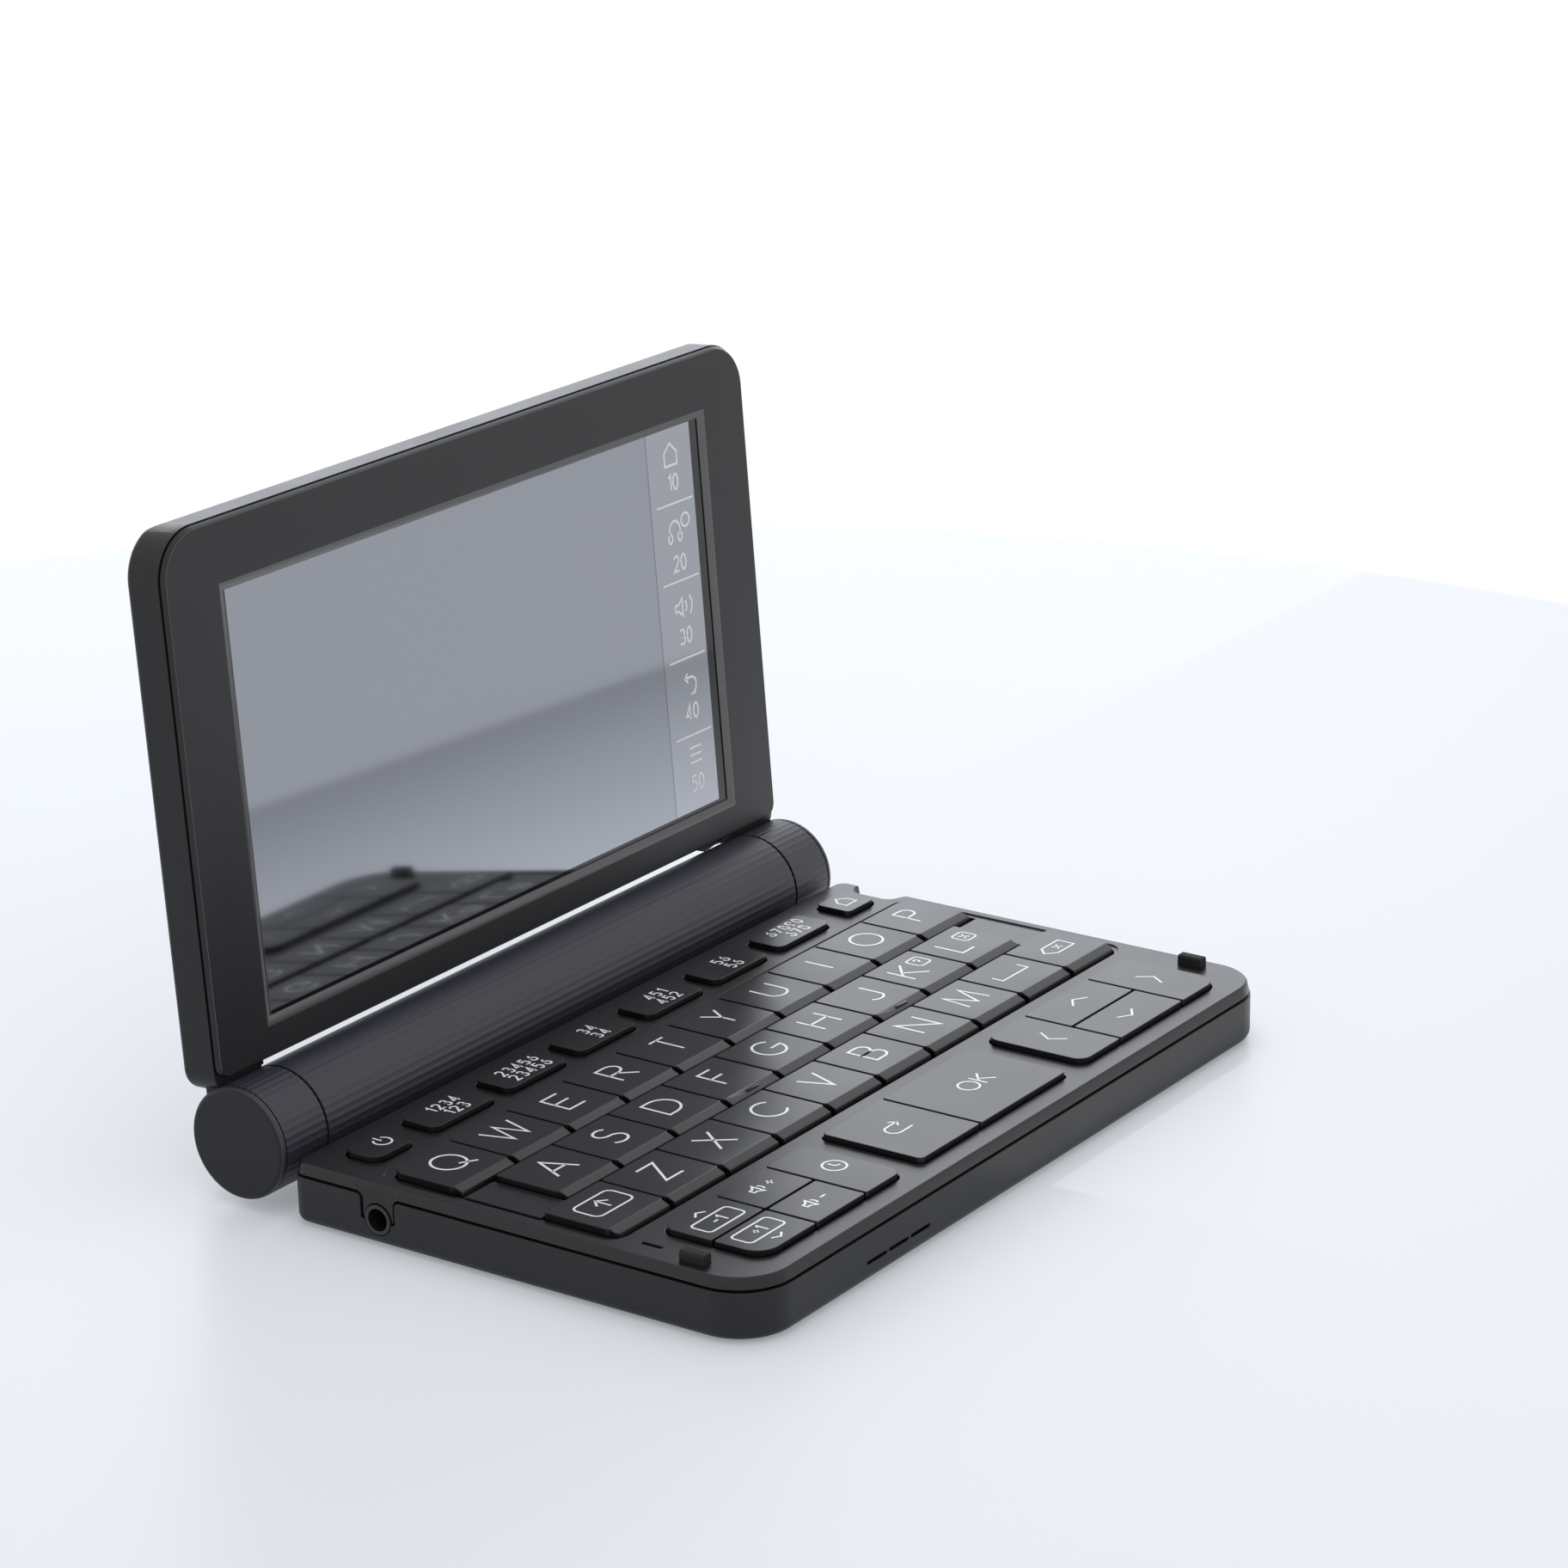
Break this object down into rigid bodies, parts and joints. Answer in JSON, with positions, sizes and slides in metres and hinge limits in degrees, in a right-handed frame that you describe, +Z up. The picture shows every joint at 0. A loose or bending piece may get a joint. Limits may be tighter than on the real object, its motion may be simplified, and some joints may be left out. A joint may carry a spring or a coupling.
{
  "type": "electronic dictionary",
  "caption": "Pocket electronic dictionary with a hinged screen lid, a keyboard base and a fluted battery barrel as its hinge.",
  "frame": {"origin": "middle of the bounding box in plan, on the surface that the feet stand on, with the lid open as pictured", "axes": "+X to the user's right along the barrel, +Y away from the user, +Z up"},
  "size_m": [0.148, 0.1126, 0.105],
  "materials": {
    "case": "fine matt texture, near black",
    "deck": "fine matt texture, near black",
    "lid": "fine matt texture, near black",
    "bezel": "fine matt texture, near black",
    "barrel": "fluted, satin",
    "keys": "smooth matt keytops with light printed legends",
    "rubber": "matt rubber",
    "silicone": "translucent grey silicone",
    "circuit_board": "solder resist",
    "steel": "turned pins",
    "battery": "plain sleeve, no label",
    "screen": "glossy cover glass over an unlit display"
  },
  "bodies": {
    "base": {"lower_case": "case", "upper_case": "deck", "main_board": "circuit_board", "key_mat": "silicone", "rubber_pads": "rubber", "barrel": "barrel", "hinge_pins": "steel", "battery_cells": "battery"},
    "battery_cover": {"battery_cover": "barrel"},
    "lid": {"lid_back": "lid", "lid_bezel": "bezel", "display": "screen"},
    "key_power": {"key_power": "keys"},
    "key_f1": {"key_f1": "keys"},
    "key_f2": {"key_f2": "keys"},
    "key_f3": {"key_f3": "keys"},
    "key_f4": {"key_f4": "keys"},
    "key_f5": {"key_f5": "keys"},
    "key_f6": {"key_f6": "keys"},
    "key_home": {"key_home": "keys"},
    "key_prev": {"key_prev": "keys"},
    "key_next": {"key_next": "keys"},
    "key_vol_up": {"key_vol_up": "keys"},
    "key_vol_down": {"key_vol_down": "keys"},
    "key_history": {"key_history": "keys"},
    "key_back": {"key_back": "keys"},
    "key_enter": {"key_enter": "keys"},
    "key_left": {"key_left": "keys"},
    "key_up": {"key_up": "keys"},
    "key_down": {"key_down": "keys"},
    "key_right": {"key_right": "keys"},
    "key_q": {"key_q": "keys"},
    "key_w": {"key_w": "keys"},
    "key_e": {"key_e": "keys"},
    "key_r": {"key_r": "keys"},
    "key_t": {"key_t": "keys"},
    "key_y": {"key_y": "keys"},
    "key_u": {"key_u": "keys"},
    "key_i": {"key_i": "keys"},
    "key_o": {"key_o": "keys"},
    "key_p": {"key_p": "keys"},
    "key_a": {"key_a": "keys"},
    "key_s": {"key_s": "keys"},
    "key_d": {"key_d": "keys"},
    "key_f": {"key_f": "keys"},
    "key_g": {"key_g": "keys"},
    "key_h": {"key_h": "keys"},
    "key_j": {"key_j": "keys"},
    "key_k": {"key_k": "keys"},
    "key_l": {"key_l": "keys"},
    "key_shift": {"key_shift": "keys"},
    "key_z": {"key_z": "keys"},
    "key_x": {"key_x": "keys"},
    "key_c": {"key_c": "keys"},
    "key_v": {"key_v": "keys"},
    "key_b": {"key_b": "keys"},
    "key_n": {"key_n": "keys"},
    "key_m": {"key_m": "keys"},
    "key_space": {"key_space": "keys"},
    "key_delete": {"key_delete": "keys"}
  },
  "joints": [
    {"name": "lid_hinge", "type": "hinge", "parent": "base", "child": "lid", "pos_m": [0, 0.04021, 0.0105], "axis": [1, 0, 0], "range_deg": [-56, 94]},
    {"name": "battery_cover_release", "type": "slide", "parent": "base", "child": "battery_cover", "axis": [0, 0.5, -0.866], "range_m": [0, 0.02]},
    {"name": "press_power", "type": "slide", "parent": "base", "child": "key_power", "axis": [0, 0, -1], "range_m": [0, 0.0005], "stiffness_N_per_m": 2000},
    {"name": "press_f1", "type": "slide", "parent": "base", "child": "key_f1", "axis": [0, 0, -1], "range_m": [0, 0.0005], "stiffness_N_per_m": 2000},
    {"name": "press_f2", "type": "slide", "parent": "base", "child": "key_f2", "axis": [0, 0, -1], "range_m": [0, 0.0005], "stiffness_N_per_m": 2000},
    {"name": "press_f3", "type": "slide", "parent": "base", "child": "key_f3", "axis": [0, 0, -1], "range_m": [0, 0.0005], "stiffness_N_per_m": 2000},
    {"name": "press_f4", "type": "slide", "parent": "base", "child": "key_f4", "axis": [0, 0, -1], "range_m": [0, 0.0005], "stiffness_N_per_m": 2000},
    {"name": "press_f5", "type": "slide", "parent": "base", "child": "key_f5", "axis": [0, 0, -1], "range_m": [0, 0.0005], "stiffness_N_per_m": 2000},
    {"name": "press_f6", "type": "slide", "parent": "base", "child": "key_f6", "axis": [0, 0, -1], "range_m": [0, 0.0005], "stiffness_N_per_m": 2000},
    {"name": "press_home", "type": "slide", "parent": "base", "child": "key_home", "axis": [0, 0, -1], "range_m": [0, 0.0005], "stiffness_N_per_m": 2000},
    {"name": "press_prev", "type": "slide", "parent": "base", "child": "key_prev", "axis": [0, 0, -1], "range_m": [0, 0.0005], "stiffness_N_per_m": 2000},
    {"name": "press_next", "type": "slide", "parent": "base", "child": "key_next", "axis": [0, 0, -1], "range_m": [0, 0.0005], "stiffness_N_per_m": 2000},
    {"name": "press_vol_up", "type": "slide", "parent": "base", "child": "key_vol_up", "axis": [0, 0, -1], "range_m": [0, 0.0005], "stiffness_N_per_m": 2000},
    {"name": "press_vol_down", "type": "slide", "parent": "base", "child": "key_vol_down", "axis": [0, 0, -1], "range_m": [0, 0.0005], "stiffness_N_per_m": 2000},
    {"name": "press_history", "type": "slide", "parent": "base", "child": "key_history", "axis": [0, 0, -1], "range_m": [0, 0.0005], "stiffness_N_per_m": 2000},
    {"name": "press_back", "type": "slide", "parent": "base", "child": "key_back", "axis": [0, 0, -1], "range_m": [0, 0.0005], "stiffness_N_per_m": 2000},
    {"name": "press_enter", "type": "slide", "parent": "base", "child": "key_enter", "axis": [0, 0, -1], "range_m": [0, 0.0005], "stiffness_N_per_m": 2000},
    {"name": "press_left", "type": "slide", "parent": "base", "child": "key_left", "axis": [0, 0, -1], "range_m": [0, 0.0005], "stiffness_N_per_m": 2000},
    {"name": "press_up", "type": "slide", "parent": "base", "child": "key_up", "axis": [0, 0, -1], "range_m": [0, 0.0005], "stiffness_N_per_m": 2000},
    {"name": "press_down", "type": "slide", "parent": "base", "child": "key_down", "axis": [0, 0, -1], "range_m": [0, 0.0005], "stiffness_N_per_m": 2000},
    {"name": "press_right", "type": "slide", "parent": "base", "child": "key_right", "axis": [0, 0, -1], "range_m": [0, 0.0005], "stiffness_N_per_m": 2000},
    {"name": "press_q", "type": "slide", "parent": "base", "child": "key_q", "axis": [0, 0, -1], "range_m": [0, 0.0005], "stiffness_N_per_m": 2000},
    {"name": "press_w", "type": "slide", "parent": "base", "child": "key_w", "axis": [0, 0, -1], "range_m": [0, 0.0005], "stiffness_N_per_m": 2000},
    {"name": "press_e", "type": "slide", "parent": "base", "child": "key_e", "axis": [0, 0, -1], "range_m": [0, 0.0005], "stiffness_N_per_m": 2000},
    {"name": "press_r", "type": "slide", "parent": "base", "child": "key_r", "axis": [0, 0, -1], "range_m": [0, 0.0005], "stiffness_N_per_m": 2000},
    {"name": "press_t", "type": "slide", "parent": "base", "child": "key_t", "axis": [0, 0, -1], "range_m": [0, 0.0005], "stiffness_N_per_m": 2000},
    {"name": "press_y", "type": "slide", "parent": "base", "child": "key_y", "axis": [0, 0, -1], "range_m": [0, 0.0005], "stiffness_N_per_m": 2000},
    {"name": "press_u", "type": "slide", "parent": "base", "child": "key_u", "axis": [0, 0, -1], "range_m": [0, 0.0005], "stiffness_N_per_m": 2000},
    {"name": "press_i", "type": "slide", "parent": "base", "child": "key_i", "axis": [0, 0, -1], "range_m": [0, 0.0005], "stiffness_N_per_m": 2000},
    {"name": "press_o", "type": "slide", "parent": "base", "child": "key_o", "axis": [0, 0, -1], "range_m": [0, 0.0005], "stiffness_N_per_m": 2000},
    {"name": "press_p", "type": "slide", "parent": "base", "child": "key_p", "axis": [0, 0, -1], "range_m": [0, 0.0005], "stiffness_N_per_m": 2000},
    {"name": "press_a", "type": "slide", "parent": "base", "child": "key_a", "axis": [0, 0, -1], "range_m": [0, 0.0005], "stiffness_N_per_m": 2000},
    {"name": "press_s", "type": "slide", "parent": "base", "child": "key_s", "axis": [0, 0, -1], "range_m": [0, 0.0005], "stiffness_N_per_m": 2000},
    {"name": "press_d", "type": "slide", "parent": "base", "child": "key_d", "axis": [0, 0, -1], "range_m": [0, 0.0005], "stiffness_N_per_m": 2000},
    {"name": "press_f", "type": "slide", "parent": "base", "child": "key_f", "axis": [0, 0, -1], "range_m": [0, 0.0005], "stiffness_N_per_m": 2000},
    {"name": "press_g", "type": "slide", "parent": "base", "child": "key_g", "axis": [0, 0, -1], "range_m": [0, 0.0005], "stiffness_N_per_m": 2000},
    {"name": "press_h", "type": "slide", "parent": "base", "child": "key_h", "axis": [0, 0, -1], "range_m": [0, 0.0005], "stiffness_N_per_m": 2000},
    {"name": "press_j", "type": "slide", "parent": "base", "child": "key_j", "axis": [0, 0, -1], "range_m": [0, 0.0005], "stiffness_N_per_m": 2000},
    {"name": "press_k", "type": "slide", "parent": "base", "child": "key_k", "axis": [0, 0, -1], "range_m": [0, 0.0005], "stiffness_N_per_m": 2000},
    {"name": "press_l", "type": "slide", "parent": "base", "child": "key_l", "axis": [0, 0, -1], "range_m": [0, 0.0005], "stiffness_N_per_m": 2000},
    {"name": "press_shift", "type": "slide", "parent": "base", "child": "key_shift", "axis": [0, 0, -1], "range_m": [0, 0.0005], "stiffness_N_per_m": 2000},
    {"name": "press_z", "type": "slide", "parent": "base", "child": "key_z", "axis": [0, 0, -1], "range_m": [0, 0.0005], "stiffness_N_per_m": 2000},
    {"name": "press_x", "type": "slide", "parent": "base", "child": "key_x", "axis": [0, 0, -1], "range_m": [0, 0.0005], "stiffness_N_per_m": 2000},
    {"name": "press_c", "type": "slide", "parent": "base", "child": "key_c", "axis": [0, 0, -1], "range_m": [0, 0.0005], "stiffness_N_per_m": 2000},
    {"name": "press_v", "type": "slide", "parent": "base", "child": "key_v", "axis": [0, 0, -1], "range_m": [0, 0.0005], "stiffness_N_per_m": 2000},
    {"name": "press_b", "type": "slide", "parent": "base", "child": "key_b", "axis": [0, 0, -1], "range_m": [0, 0.0005], "stiffness_N_per_m": 2000},
    {"name": "press_n", "type": "slide", "parent": "base", "child": "key_n", "axis": [0, 0, -1], "range_m": [0, 0.0005], "stiffness_N_per_m": 2000},
    {"name": "press_m", "type": "slide", "parent": "base", "child": "key_m", "axis": [0, 0, -1], "range_m": [0, 0.0005], "stiffness_N_per_m": 2000},
    {"name": "press_space", "type": "slide", "parent": "base", "child": "key_space", "axis": [0, 0, -1], "range_m": [0, 0.0005], "stiffness_N_per_m": 2000},
    {"name": "press_delete", "type": "slide", "parent": "base", "child": "key_delete", "axis": [0, 0, -1], "range_m": [0, 0.0005], "stiffness_N_per_m": 2000}
  ]
}
